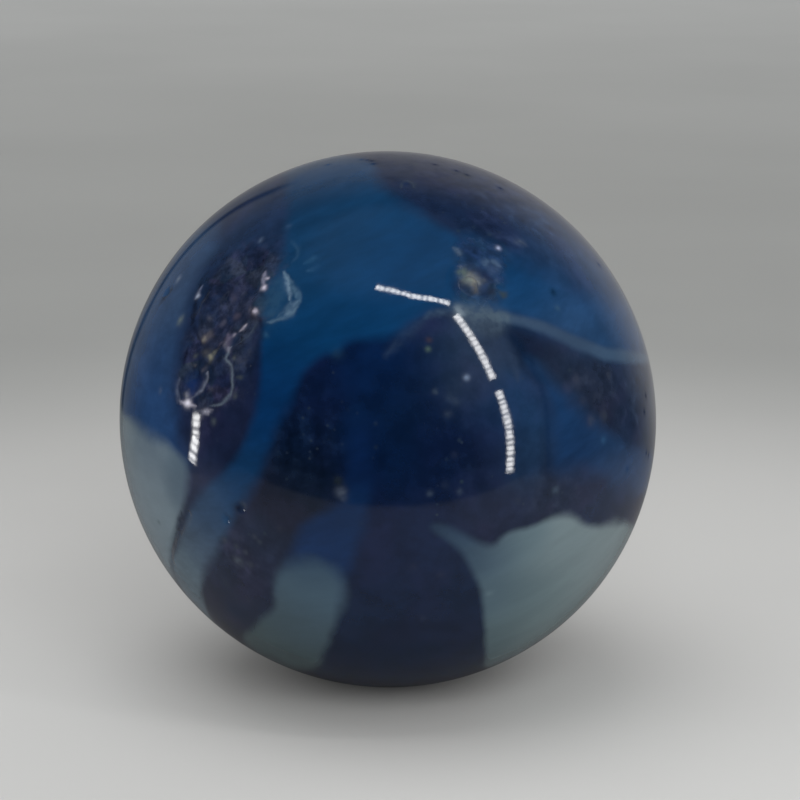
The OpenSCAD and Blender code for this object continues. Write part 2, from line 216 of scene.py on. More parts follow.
# Painted strokes, thinner towards their ends: places, width in millimetres, colour, strength. Most are marks
# in the glass; those marked below are painted highlights.
STROKES_AND_GLINTS = [
    ([(-30.5, 39.5), (-29.5, 35.5), (-29, 32.5)], 1, (20, 60, 115), 0.7),
    ([(-29, 42), (-26, 40.1), (-23.7, 38), (-22.4, 36), (-22.1, 34.6)], 0.13, (45, 95, 160), 0.75),
    ([(-22.4, 35.6), (-22.9, 34.2), (-24.4, 32.9), (-26.6, 31.9), (-29.2, 31.2)],
     0.15, (60, 110, 170), 0.85),
    ([(-29.9, 42.4), (-27.8, 40.4), (-26.3, 38.4), (-25.1, 36.2)], 0.17, (120, 190, 270), 0.9),
    ([(-27.4, 40.7), (-24.9, 38.6), (-23.3, 36.6)], 0.1, (60, 120, 190), 0.75),
    ([(-26.2, 38.8), (-24.8, 36.8), (-24.3, 35)], 0.08, (50, 100, 170), 0.7),
    ([(-25.3, 33.1), (-23.9, 34.4), (-22.8, 36)], 0.26, (90, 150, 220), 0.85),
    ([(-27.6, 32.3), (-25.8, 33.7), (-24.5, 35.4)], 0.1, (45, 90, 150), 0.65),
    ([(-32.5, 50), (-28.6, 48), (-27.5, 46), (-28.6, 44.2)], 0.13, (20, 60, 120), 0.6),
    ([(-24.6, 44.5), (-20.8, 46.4)], 0.16, (20, 75, 150), 0.7),
    ([(-23.2, 42.7), (-19.4, 44)], 0.14, (20, 70, 145), 0.65),
    # Painted highlight: a glint on the facets of the chipped patch
    ([(-35.8, 42), (-35, 40), (-34.4, 38)], 0.12, (200, 200, 280), 0.95),
    # Painted highlight: a glint on the chipped patch
    ([(-36.7, 28.4), (-35.8, 29.8)], 0.14, (340, 320, 390), 1),
    ([(-33, 31.6), (-32.5, 29.5), (-33.5, 27.4), (-35.6, 26)], 0.09, (50, 70, 100), 0.5),
    ([(-36.9, 25.2), (-37.9, 22.4), (-36.3, 20.8), (-34.9, 18.9), (-34.7, 16.1), (-36.6, 13.5),
      (-39.6, 12.5)], 0.13, (100, 130, 170), 0.9),
    ([(-41.9, 18.8), (-41.9, 17.4), (-42.4, 16), (-43.6, 14.6), (-45.4, 13.3)], 0.12, (160, 180, 240), 0.9),
    ([(-50.3, 16.6), (-50, 14), (-48.4, 12)], 0.15, (90, 110, 170), 0.8),
    # Painted highlight: a glint under the lower bruise ring, beside the top of the left slim lamp's
    # highlight
    ([(-48.9, 12), (-46.2, 12), (-43, 11.8)], 0.11, (360, 350, 430), 0.95),
    # Painted highlight: a bright piece that carries on from the top of the left slim lamp's highlight
    ([(-42, 10.4), (-40.6, 11.2), (-38.7, 11.8)], 0.15, (300, 300, 370), 0.95),
    # Painted highlight: a glint at the left edge of the chipped patch
    ([(-54.6, 32.6), (-54.9, 34.4), (-54.6, 36.4)], 0.14, (160, 190, 290), 0.9),
    ([(-71.2, 29), (-69.5, 31.4), (-68.2, 33)], 0.24, (4, 8, 22), 0.85),
    ([(-56.5, 36.5), (-54.2, 33), (-51.8, 28.5), (-48.5, 26), (-44, 24.4)], 0.2, (4, 7, 18), 0.75),
    ([(-36, 33.6), (-33.6, 31.8), (-31, 30.8)], 0.3, (20, 14, 20), 0.6),
    ([(-32.6, 31.6), (-30.3, 29), (-30.3, 25), (-30.8, 19.5)], 0.32, (4, 8, 22), 0.55),
    ([(-50, 23.4), (-49.6, 19.4)], 0.16, (4, 6, 16), 0.7),
    ([(30.2, 25.4), (32.3, 20.5), (33.8, 15.5), (34, 10.5), (33.7, 5.5), (33.6, -0.8)],
     0.22, (3, 14, 46), 0.5),
    ([(28.5, 28.6), (30.4, 25.4), (33, 21.6)], 0.34, (3, 10, 30), 0.7),
    ([(16, 34.4), (19.5, 33.5), (24, 32.6), (29, 31.8)], 0.8, (62, 92, 122), 0.85),
    ([(18.6, 31.4), (22.6, 30.8), (26.6, 29.6)], 0.55, (35, 55, 85), 0.7),
    # Painted highlight: it joins the highlights of the top and right slim lamps
    ([(16.4, 34.7), (17.8, 33.4)], 0.3, (140, 180, 220), 0.8),
    ([(-1, 25), (2, 28), (5.2, 30.6), (8.7, 32.8)], 0.34, (20, 38, 75), 0.5),
    ([(8, 33.4), (11.6, 34), (16, 34.6)], 0.2, (34, 60, 100), 0.85),
    ([(26.4, 28), (27.2, 25.2), (27.9, 22.3), (28.2, 19)], 0.34, (20, 36, 72), 0.75),
    ([(32.6, 21.8), (33.8, 19.7), (35.6, 17)], 0.3, (5, 18, 50), 0.5),
    ([(-47.8, -10.6), (-49.6, -13.4), (-51.6, -16)], 0.24, (9, 17, 36), 0.8),
    ([(-50.6, -15), (-55.2, -20), (-60, -24.6)], 0.13, (8, 18, 36), 0.8),
    # Painted highlight: a pale glint at the top of the speckled glass round the stone
    ([(19.9, 48.8), (21.4, 47)], 0.19, (50, 80, 130), 0.8),
    ([(27.6, 44), (29.4, 45.2)], 0.22, (45, 80, 140), 0.75),
    ([(30.6, 45.2), (32.4, 43.4)], 0.2, (50, 85, 145), 0.75),
    ([(25, 43.4), (27.2, 42), (28.6, 40.6)], 0.22, (3, 10, 40), 0.8),
    ([(43.6, 48.9), (46.4, 48.3)], 0.26, (50, 70, 110), 0.8),
    ([(6.5, 68), (8.6, 70.4), (12, 71), (14.4, 69.8), (13.6, 67.9)], 0.14, (30, 45, 65), 0.6),
    ([(55, 70), (61, 72)], 0.4, (10, 15, 30), 0.8),
    ([(-30, 82), (-16, 83)], 0.3, (10, 15, 30), 0.7),
]

# Painted spots: longitude, latitude, radius in millimetres, colour, strength. Most are marks in the glass;
# those marked below are painted highlights and painted shade.
SPOTS_GLINTS_AND_SHADE = [
    # Painted highlights: both spots on this line are glints on the chipped patch
    (-34, 38, 0.075, (600, 560, 680), 1), (-34.2, 40.2, 0.055, (400, 380, 480), 1),
    # Painted highlight: the spot at (-33.7, 33), a glint on the chipped patch
    (-33.7, 33, 0.1, (600, 550, 660), 1), (-36, 33.4, 0.09, (100, 100, 140), 0.8),
    (-45.5, 26, 0.14, (110, 100, 110), 0.9), (-42, 22, 0.14, (130, 135, 115), 0.9),
    (-41.2, 22.9, 0.1, (120, 125, 110), 0.8), (-43.6, 22.9, 0.16, (50, 50, 55), 0.7),
    # Painted highlights: the pale spots at (-38.8, 25), (-37.8, 27.4) and (-37.7, 24.6) are glints on the
    # chipped patch
    (-39, 26.5, 0.11, (100, 90, 140), 0.85), (-38.8, 25, 0.08, (160, 160, 200), 0.9),
    (-37.8, 27.4, 0.07, (200, 190, 250), 1), (-39.6, 27.2, 0.07, (100, 90, 140), 0.9),
    (-37.7, 24.6, 0.07, (200, 200, 260), 1), (-40.6, 25, 0.08, (70, 65, 100), 0.9),
    (-45.7, 25.5, 0.08, (150, 140, 130), 1), (-42, 21.9, 0.08, (190, 185, 145), 1),
    (-39, 34.6, 0.4, (8, 14, 35), 0.5), (43.4, 17.4, 0.14, (32, 38, 75), 0.65),
    (40.6, 16.2, 0.17, (26, 32, 65), 0.6), (50.4, 8.8, 0.14, (32, 42, 55), 0.6),
    (45.8, 8.6, 0.16, (28, 28, 65), 0.6), (44.2, 13, 0.12, (20, 25, 45), 0.5),
    # Painted highlight: the spot at (-46, 12.2), the bright core of the glint under the lower bruise ring
    (-46, 12.2, 0.12, (800, 780, 880), 1), (-43.2, 29.5, 0.1, (60, 60, 90), 0.8),
    (-40, 31.5, 0.12, (55, 50, 80), 0.7), (-47, 30, 0.1, (50, 55, 80), 0.7),
    (-42.4, 35, 0.1, (50, 50, 80), 0.6), (-46.5, 22, 0.1, (50, 60, 70), 0.8),
    (-43, 19.4, 0.09, (60, 60, 80), 0.8), (-35.4, 22.6, 0.08, (60, 70, 80), 0.8),
    (-33, 19, 0.09, (40, 50, 60), 0.8), (-33.4, 15.4, 0.08, (45, 55, 70), 0.8),
    (-38, 9.6, 0.1, (60, 75, 90), 0.8), (-38.5, 25.4, 0.11, (90, 80, 120), 0.85),
    # Painted highlight: the spot at (-54.5, 33.4), a glint at the left edge of the chipped patch
    (-56.5, 28, 0.14, (110, 140, 150), 0.9), (-54.5, 33.4, 0.08, (320, 360, 460), 0.95),
    (-46, 16, 0.34, (3, 20, 90), 0.9), (-68, 35.5, 0.12, (160, 200, 270), 0.8),
    (-56, 13, 0.1, (60, 90, 160), 0.7), (-43.5, 49, 0.09, (60, 90, 150), 0.8),
    (-36.5, 53.5, 0.1, (30, 70, 140), 0.6), (-28.6, 28.4, 0.1, (20, 70, 140), 0.7),
    (22.8, 40.7, 0.22, (170, 175, 155), 1), (21.2, 41, 0.15, (140, 170, 160), 0.9),
    (24.8, 40.8, 0.15, (130, 140, 140), 0.9), (23.6, 42.1, 0.14, (160, 165, 150), 0.9),
    (22.6, 39.2, 0.11, (100, 90, 75), 0.8), (21.4, 43.2, 0.13, (60, 90, 80), 0.85),
    (26.2, 37.6, 0.17, (3, 10, 35), 0.8), (19.9, 43, 0.1, (50, 80, 85), 0.8),
    (27, 37.4, 0.2, (12, 18, 35), 0.8), (30, 37.2, 0.12, (35, 45, 40), 0.7),
    (30, 42.8, 0.18, (35, 60, 120), 0.7), (30, 40.5, 0.1, (40, 65, 120), 0.6),
    (26.5, 47.8, 0.12, (3, 10, 30), 0.7), (24, 45, 0.2, (5, 14, 40), 0.6), (19, 40, 0.22, (8, 14, 40), 0.6),
    # Painted highlight: the spot at (35.2, 47.9), a glint in the peck near the stone
    (35.2, 47.9, 0.08, (260, 300, 440), 1), (45.8, 36, 0.13, (2, 12, 30), 0.7),
    (44.8, 32.5, 0.1, (30, 70, 120), 0.6), (9, 28.4, 0.09, (30, 25, 40), 0.8),
    (8.6, 26.5, 0.08, (45, 75, 70), 0.85), (14, 19, 0.5, (14, 26, 52), 0.4),
    (16.5, 20.5, 0.09, (120, 160, 240), 0.95), (9.5, 18, 0.08, (40, 60, 90), 0.8),
    (12.6, 17, 0.14, (22, 38, 65), 0.6), (13.8, 16, 0.13, (22, 36, 64), 0.6),
    (12, 13.5, 0.11, (22, 34, 60), 0.8), (13, 5.5, 0.1, (12, 18, 40), 0.6),
    (11, -0.5, 0.12, (12, 20, 45), 0.6), (8, -2, 0.09, (30, 45, 75), 0.85),
    (14, -2, 0.09, (30, 45, 75), 0.85), (35.5, -4, 0.11, (35, 55, 85), 0.85),
    (26.5, -5, 0.1, (16, 24, 44), 0.6), (-9.4, -1.8, 0.15, (55, 70, 100), 0.9),
    (-8.8, -3, 0.1, (40, 55, 90), 0.8), (-10, 0.4, 0.12, (16, 22, 16), 0.7),
    (-11.2, 25.5, 0.15, (10, 30, 60), 0.6), (5, -18, 0.12, (14, 20, 45), 0.6),
    (11, -20, 0.12, (14, 20, 45), 0.6), (8, -31.5, 0.1, (20, 28, 55), 0.7),
    (23, -26, 0.12, (100, 150, 180), 0.6), (-34, -19.5, 0.16, (55, 70, 95), 0.9),
    (-31, -19.7, 0.1, (35, 45, 65), 0.8), (-33.5, -16, 0.1, (30, 40, 60), 0.8),
    (-36.5, -15, 0.1, (40, 50, 75), 0.85), (-31.5, -17, 0.08, (40, 50, 70), 0.8),
    (-28.5, -13, 0.08, (35, 45, 65), 0.7), (-27.5, -14, 0.08, (30, 40, 60), 0.7),
    (-30.5, -6.5, 0.12, (40, 55, 90), 0.85), (-31.8, -7.2, 0.12, (6, 8, 18), 0.8),
    (-22.5, -10.5, 0.1, (18, 22, 38), 0.6), (-40, -26, 0.12, (20, 30, 50), 0.7),
    (-34.5, -29.5, 0.1, (20, 26, 45), 0.6), (-42, -34.4, 0.34, (3, 14, 45), 0.85),
    (-59.1, -15.6, 0.09, (80, 120, 130), 0.6), (54.5, 16.5, 0.1, (30, 38, 55), 0.7),
    (43.5, 17.5, 0.12, (24, 32, 50), 0.7), (46, 8.6, 0.15, (26, 42, 70), 0.7),
    (49.5, 9, 0.1, (22, 30, 50), 0.7), (49.5, 4, 0.12, (20, 60, 130), 0.8),
    # Painted shade: the two dark spots at the pecks on the right rim
    (71, 8.5, 0.2, (6, 10, 20), 0.8), (71.5, -3, 0.2, (10, 14, 30), 0.8),
    (67.5, 13, 0.16, (10, 14, 30), 0.7), (66, 50, 0.16, (10, 16, 40), 0.7),
    (76, 58, 0.18, (10, 16, 40), 0.7), (-80, 5, 0.2, (10, 20, 50), 0.6),
]

# Tones of the crushed glass, as node colours: dark, pale and the bright of its cracks
CHIP_TONES = ((0.006, 0.013, 0.035, 1), (0.028, 0.034, 0.064, 1), (0.06, 0.075, 0.1, 1))
STONE_TONES = ((0.004, 0.015, 0.045, 1), (0.013, 0.032, 0.072, 1), (0.03, 0.055, 0.09, 1))

# How far the crushed glass hides the colours under it
CHIP_COVER, STONE_COVER = 0.8, 0.7
# Dark glass: the purple, the paler and the darker that multiply it, and the tones of its specks
PURPLE, PALER, DARKER = (1.5, 0.85, 0.9, 1), (2.8, 2.4, 2, 1), (0.4, 0.5, 0.5, 1)
SPECK_TONE, FINE_SPECK_TONE = (0.02, 0.034, 0.05, 1), (0.022, 0.034, 0.05, 1)

# The glass: its gloss, how much of it crushed glass loses, its roughness, and what each wear adds to it
GLASS_IOR, GLOSS, GLOSS_LOST, ROUGHNESS = 1.5, 0.5, 0.42, (0.02, 0.055)
CHIP_ROUGHER, STONE_ROUGHER, SCUFF_ROUGHER = 0.2, 0.45, 0.1
# Its fine ripples: strength, and depth in millimetres
RIPPLE_SHARE, RIPPLE_DEPTH = 0.3, 0.004
# The heights in millimetres over which the crown becomes scuffed, and how much
CROWN_HEIGHTS, SCUFFED = (5, 7.3), 0.5

# Where faint specks hang in the glass: longitude, latitude, reach in degrees, how many
SPECK_ZONES = [
    (-16, 8, 10, 1), (13, 15, 6, 0.5), (14, 3, 7, 0.4), (50, 16, 9, 0.6), (66, 8, 9, 0.7),
    (-34, -18, 8, 0.7), (36, 50, 8, 0.7), (-40, 9, 5, 0.5), (-41, 38, 9, 0.5), (60, 60, 16, 0.6),
    (35, -5, 7, 0.5),
]
# The share of the places for specks that hold one, where they are thickest
SPECKS_KEPT = 0.6

# Slim lamps: name, distance from the glass, width, brightness between the beads of light, and the places on
# the ball where the camera sees them mirrored
STRIPS = [
    ("top_strip", 35, 1.9, 0.55, [(-2.9, 40.2), (6.4, 38.1), (15.6, 36.2)]),
    ("right_strip", 35, 2.7, 0.65, [(16.5, 33.6), (20.3, 26.9), (22.8, 20.1)]),
    ("low_strip", 35, 2.9, 0.4, [(23.7, 17.7), (25.2, 9.8), (24.9, 1.2)]),
    ("left_strip", 28, 2.9, 0.35, [(-42.9, 10.3), (-42.5, 5.6), (-43.4, 0.5)]),
]
STRIP_RADIANCE = 14.5
# Beads of light in a slim lamp: length in millimetres, even part, uneven part and its pace, brightness
BEAD, EVEN, UNEVEN, PACE, IN_BEAD = 1.35, 0.8, 0.45, 2.3, 1.2
# Soft lamps: name, place and size in metres, power in watts
LAMPS = [("front_lamp", (0.1, -0.42, 0.2), 0.35, 1.2), ("top_lamp", (-0.1, 0, 0.5), 0.4, 0.8)]
WORLD_TONE = (0.5, 0.5, 0.5, 1)

# Floor, in metres: its radius, where its tone changes, the spot under the front lamp that gets painted shade
# against the lamp's bright pool, and where the glass mirrors the table's edge and the room instead of the
# floor
FLOOR_R, ROUND_BALL, FAR_OFF = 1.2, (0.02, 0.055), (0.06, 0.3)
LAMP_POOL_SHADE_SPOT, TABLE_EDGE, HORIZON = ((-0.12, -0.4), (-0.6, -0.46)), (-0.0264, -0.0232), (0.05, 0.15)
# Its tones near the ball, round it, far away and under the front lamp, where the darker tone is painted
# shade against the lamp's bright pool
NEAR_TONE, ROUND_TONE = (0.56, 0.56, 0.55, 1), (0.35, 0.355, 0.347, 1)
FAR_TONE, LAMP_POOL_SHADE_TONE = (0.53, 0.54, 0.533, 1), (0.27, 0.275, 0.272, 1)
PAPER_ROUGHNESS, PAPER_GLOSS = 0.9, 0.1
# What the glass mirrors: the table and the dark in front of it, the walls from the left to the right,
# the ceiling, and the dark gap in the wall with the way it leans
TABLE_LEVEL, FRONT_LEVEL = (0.19, 0.19, 0.19, 1), (0.015, 0.015, 0.015, 1)
WALL_LEVELS, CEILING_LEVELS, GAP_LEFT, GAP_LEAN = (0.11, 0.34), (0.015, 0.09), 0.44, 0.36

# Camera: degrees above the ball, distance in millimetres, lens and sensor, shift to the side and up
VIEW_LAT, VIEW_FAR, LENS, SENSOR, SHIFT = 13, 89.4, 135, 36, (0.0138, 0.0225)

# Dabs of paint from one place of a stroke to the next, how thick its ends are, and how it swells from them
DABS_EACH, STROKE_TIP, STROKE_SWELL = 8, 0.25, 0.7
# The share that a tint keeps far beyond its reach
TINT_REST = 1e-4

# The skin: how often the icosphere is cut, and how often its hollows are smoothed
BALL_CUTS, SMOOTHINGS = 7, 6
# Points drawn for each place of an outline
LOOP_STEPS = 4
# Degrees round a spot and round a peck in which the triangles are cut finer
SPOT_ZONE, PECK_ZONE = 1.6, 2

# Where the triangles are cut finer: (longitude, latitude, radius in degrees, times)
FINE_ZONES = [
    (-41, 31, 20, 2), (24, 42, 11, 2), (-52, -17, 11, 2), (33, 14, 15, 1), (-14, 8, 15, 1), (12, 20, 9, 1),
    (-33, -18, 9, 1),
]


def outward(lon, lat):
    """Unit vector, or rows of them, that point outwards at a place on the ball."""
    lon, lat = np.radians(lon), np.radians(lat)
    return np.stack([np.cos(lat) * np.sin(lon), -np.cos(lat) * np.cos(lon), np.sin(lat)], -1)


def points_at(places):
    """Unit vectors at these places, one row each."""
    return outward(*np.array(places, float).T)


def unit(rows):
    """The rows as unit vectors."""
    return rows / np.linalg.norm(rows, axis=-1, keepdims=True)


def directions_of(mesh):
    """The mesh's vertices as unit vectors, one row each."""
    co = np.empty(len(mesh.vertices) * 3)
    mesh.vertices.foreach_get("co", co)
    return unit(co.reshape(-1, 3))


def away_from(directions, points):
    """Distance along the ball in millimetres from each direction to one point, or to rows of them."""
    return BALL_R * np.arccos(np.clip(directions @ points.T, -1, 1))


def angle_to(directions, place):
    """Angle in degrees from each direction to a place."""
    return np.degrees(away_from(directions, outward(*place)) / BALL_R)


def nearness(directions, lon, lat, reach):
    """How near each direction is to a place: 1 there, and fading out over the reach in degrees."""
    return np.exp(-((angle_to(directions, (lon, lat)) / reach) ** 2))


def refine(bm, zones):
    """Cuts into four each triangle whose middle lies in one of the zones, as (place, radius in degrees)."""
    faces = list(bm.faces)
    middles = np.array([face.calc_center_median().normalized() for face in faces])
    inside = np.zeros(len(faces), bool)
    for place, radius in zones:
        inside |= middles @ outward(*place) > math.cos(math.radians(radius))
    edges = list(dict.fromkeys(edge for face, hit in zip(faces, inside) if hit for edge in face.edges))
    bmesh.ops.subdivide_edges(bm, edges=edges, cuts=1, use_grid_fill=True)
    bmesh.ops.triangulate(bm, faces=[face for face in bm.faces if len(face.verts) > 3])


def fine_ball():
    """A unit ball of small even triangles, finer where the glass is chipped or marked."""
    bm = bmesh.new()
    bmesh.ops.create_icosphere(bm, subdivisions=BALL_CUTS, radius=1)
    marks = [((lon, lat), SPOT_ZONE) for lon, lat, *_ in SPOTS_GLINTS_AND_SHADE]
    marks += [(place, PECK_ZONE) for place in PECKS + RIM_PECKS]
    for step in range(2):
        zones = [((lon, lat), radius - step) for lon, lat, radius, rounds in FINE_ZONES if rounds > step]
        refine(bm, zones + marks)
    mesh = bpy.data.meshes.new("marble_skin")
    bm.to_mesh(mesh)
    bm.free()
    return mesh


def smooth_line(before, start, end, after, steps):
    """Unit vectors along the smooth curves from each start to its end, this many on each."""
    rows = []
    for t in np.arange(steps) / steps:
        curve = 2 * before - 5 * start + 4 * end - after + t * (3 * (start - end) + after - before)
        rows.append(start + t / 2 * (end - before + t * curve))
    return unit(np.stack(rows, 1).reshape(-1, 3))


def smooth_loop(places):
    """Unit vectors along a smooth closed curve through the places."""
    drawn = points_at(places)
    return smooth_line(np.roll(drawn, 1, 0), drawn, np.roll(drawn, -1, 0), np.roll(drawn, -2, 0), LOOP_STEPS)


def arc_distance(directions, start, end):
    """Smallest angle in radians from each direction to the arcs that run from start to end."""
    normal = unit(np.cross(start, end))
    beside = (directions @ np.cross(normal, start).T > 0) & (directions @ np.cross(end, normal).T > 0)
    away = np.where(beside, np.arcsin(np.clip(np.abs(directions @ normal.T), 0, 1)), math.pi)
    corners = np.vstack([start, end[-1:]])
    corner = np.arccos(np.clip(directions @ corners.T, -1, 1))
    return np.minimum(away.min(1), corner.min(1))


def edge_distance(directions, places):
    """Distance along the ball to the outline in millimetres, positive inside it."""
    start = smooth_loop(places)
    end = np.roll(start, -1, 0)
    if np.sum(np.cross(start, end).sum(0) * start.mean(0)) < 0:
        start, end = end[::-1], start[::-1]
    turn = np.arctan2(directions @ np.cross(start, end).T,
                      np.sum(start * end, 1) - (directions @ start.T) * (directions @ end.T))
    inside = turn.sum(1) > math.pi
    nearest = arc_distance(directions, start, end)
    return BALL_R * np.where(inside, nearest, -nearest)


def softness(directions):
    """How much softer than elsewhere the fields' edges are in each direction."""
    return 1 + np.sum([more * nearness(directions, *spot) for *spot, more in SOFTER], 0)


def field_edge(directions, fields):
    """Distance to the nearest outline of several fields, in units of its edge's softness."""
    nearest = np.max([edge_distance(directions, places) / soft for places, soft in fields], 0)
    return nearest / softness(directions)


def blend_tints(directions, tints):
    """Colour of each direction, as the tints flow into each other."""
    total = np.zeros((len(directions), 3))
    weights = np.full((len(directions), 1), 1e-9)
    for lon, lat, reach, colour in tints:
        far = (angle_to(directions, (lon, lat)) / reach) ** 2
        weight = TINT_REST / (1 + far) + np.exp(-far)
        total += weight[:, None] * colour
        weights += weight[:, None]
    return total / weights


def soft_step(share):
    """Smooth step of a share from 0 to 1."""
    share = np.clip(share, 0, 1)
    return share * share * (3 - 2 * share)


def scoop_reach(directions, place, width, depth):
    """How far out the glass still stands under a hollow of this width, and of this depth below its rim."""
    rim = math.sqrt(BALL_R ** 2 - width ** 2 / 4)
    radius = (width ** 2 / 4 + depth ** 2) / (2 * depth)
    far = rim - depth + radius
    along = directions @ outward(*place) * far
    root = along ** 2 - far ** 2 + radius ** 2
    reach = along - np.sqrt(np.maximum(root, 0))
    return np.where((root > 0) & (along > 0), reach, BALL_R)


def shoulder_reach(directions):
    """How far out the glass stands, with a shoulder that is a little flatter and has no crease round it."""
    across = directions @ outward(*SHOULDER)
    across = (across + np.sqrt(across ** 2 + SHOULDER_BLEND ** 2)) / 2
    root = BALL_R ** 2 - SHOULDER_WORN ** 2 * (1 - np.minimum(across, 1) ** 2)
    return np.sqrt(root) - SHOULDER_WORN * across


def jitter(directions, size, amount, seed):
    """The directions, shifted where the mesh is finest by a smooth noise of this size and amount."""
    shift = np.array([noise.noise_vector(Vector(row) * (BALL_R / size) + Vector((seed, 0, 0)))
                      for row in directions])
    finest = [zone for zone in FINE_ZONES if zone[3] > 1]
    share = np.max([soft_step((radius - angle_to(directions, (lon, lat))) / RAGGED_FADE)
                    for lon, lat, radius, _ in finest], 0)
    return unit(directions + shift * share[:, None] * (amount / BALL_R))


def moon_reach(directions, place, width, depth, land_width, turn):
    """A hollow with a land left standing in it, which leans to one side: a half-moon bruise."""
    reach = scoop_reach(directions, place, width, depth)
    up = outward(place[0], place[1] + 90)
    side = np.cross(up, outward(*place))
    lean = (width - land_width) / 4
    towards = math.cos(math.radians(turn)) * side + math.sin(math.radians(turn)) * up
    away = away_from(directions, unit(outward(*place) + towards * lean / BALL_R))
    land = soft_step((land_width / 2 + LAND_BLEND / 2 - away) / LAND_BLEND)
    return reach + (BALL_R - reach) * land


def smoothed(mesh, values, rounds):
    """The values of the vertices, each blended this many times with those of its neighbours."""
    ends = np.empty(len(mesh.edges) * 2, np.int32)
    mesh.edges.foreach_get("vertices", ends)
    first, second = ends.reshape(-1, 2).T
    size = len(values)
    met = np.bincount(first, minlength=size) + np.bincount(second, minlength=size)
    for _ in range(rounds):
        total = np.bincount(first, values[second], size) + np.bincount(second, values[first], size)
        values = (values + total / met) / 2
    return values


def flakes(count, centre, spread, widths, depths):
    """Small hollows scattered round a place, as (place, width, depth)."""
    dice = random.Random(FLAKE_SEED)
    found = []
    for _ in range(count):
        far, turn = spread * math.sqrt(dice.random()), dice.uniform(0, 2 * math.pi)
        lat = centre[1] + far * math.sin(turn)
        lon = centre[0] + far * math.cos(turn) / math.cos(math.radians(lat))
        found.append(((lon, lat), dice.uniform(*widths), dice.uniform(*depths)))
    return found


def stone_reach(directions):
    """How far out the lumpy grain stands, sunk by half into the floor of its pit."""
    away = away_from(directions, outward(*STONE))
    height = STONE_W / 2 * np.sqrt(np.maximum(1 - (away / (STONE_W * STONE_FOOT)) ** 2, 0))
    floor = math.sqrt(BALL_R ** 2 - PIT_W ** 2 / 4) - PIT_DEPTH
    return np.where(height > 0, floor + height, 0)


def worn_reach(directions, rough):
    """How far out the worn glass stands. The rough directions give the chips ragged rims."""
    reach = shoulder_reach(directions)
    scoops = [(CHIP, CHIP_W, CHIP_DEPTH), (CHIP_SIDE, SPALL_W, CHIP_DEPTH), (SPALL, SPALL_W, SPALL_DEPTH),
              (STONE, PIT_W, PIT_DEPTH)] + flakes(*FLAKES)
    scoops += [(place, PECK_W, PECK_DEPTH) for place in PECKS]
    scoops += [(place, PECK_W, RIM_PECK_DEPTH) for place in RIM_PECKS]
    for place, width, depth in scoops:
        reach = np.minimum(reach, scoop_reach(rough, place, width, depth))
    moons = [(MOON, MOON_W, MOON_DEPTH, MOON_LAND_W, MOON_TURN)]
    moons += [(place, RING_W, RING_DEPTH, RING_LAND_W, RING_TURN) for place in RINGS]
    for moon in moons:
        reach = np.minimum(reach, moon_reach(rough, *moon))
    groove = points_at(CREASE)
    away = BALL_R * arc_distance(rough, groove[:-1], groove[1:])
    reach = reach - CREASE_DEPTH * soft_step(1 - away / (CREASE_W / 2))
    return np.maximum(reach, stone_reach(rough))


def dabs_along(places, width):
    """Round dabs along a smooth line through the places, smaller at its ends: unit vectors and radii."""
    drawn = points_at(places)
    drawn = np.vstack([2 * drawn[:1] - drawn[1:2], drawn, 2 * drawn[-1:] - drawn[-2:-1]])
    line = smooth_line(drawn[:-3], drawn[1:-2], drawn[2:-1], drawn[3:], DABS_EACH)
    line = np.vstack([line, drawn[-2]])
    swell = np.sin(np.linspace(0, math.pi, len(line))) ** STROKE_SWELL
    radii = width / 2 * (STROKE_TIP + (1 - STROKE_TIP) * swell)
    return line, radii


def painted_marks(directions):
    """Colour, already multiplied by its cover, and cover of the painted strokes and spots, some of which are
    painted highlights and painted shade.
    """
    marks = [(*dabs_along(places, width), colour, strength) for places, width, colour, strength in STROKES_AND_GLINTS]
    marks += [(outward([lon], [lat]), np.array([radius]), colour, strength)
              for lon, lat, radius, colour, strength in SPOTS_GLINTS_AND_SHADE]
    paint = np.zeros((len(directions), 3))
    cover = np.zeros((len(directions), 1))
    for line, radii, colour, strength in marks:
        share = (np.exp(-(away_from(directions, line) / radii) ** 2).max(1) * strength)[:, None]
        paint = paint * (1 - share) + share * colour
        cover = cover * (1 - share) + share
    return paint, cover[:, 0]


def speck_share(directions):
    """How many faint specks hang in the glass, from 0 to 1."""
    return np.max([many * nearness(directions, *spot) for *spot, many in SPECK_ZONES], 0)


def peck_share(directions):
    """How near each direction is to the middle of a peck, from 0 to 1."""
    away = away_from(directions, points_at(PECKS + RIM_PECKS)).min(1)
    return np.exp(-((away / (PECK_W / 2)) ** 2))


def put_values(mesh, name, values):
    """Stores one number per vertex."""
    layer = mesh.attributes.new(name, "FLOAT", "POINT")
    layer.data.foreach_set("value", np.ascontiguousarray(values, np.float32))


def put_colours(mesh, name, colours):
    """Stores one linear colour per vertex, given in thousandths."""
    layer = mesh.attributes.new(name, "FLOAT_COLOR", "POINT")
    full = np.ones((len(colours), 4), np.float32)
    full[:, :3] = colours / 1000
    layer.data.foreach_set("color", full.ravel())


def add_object(name, data):
    """A new object in the scene."""
    thing = bpy.data.objects.new(name, data)
    bpy.context.scene.collection.objects.link(thing)
    return thing


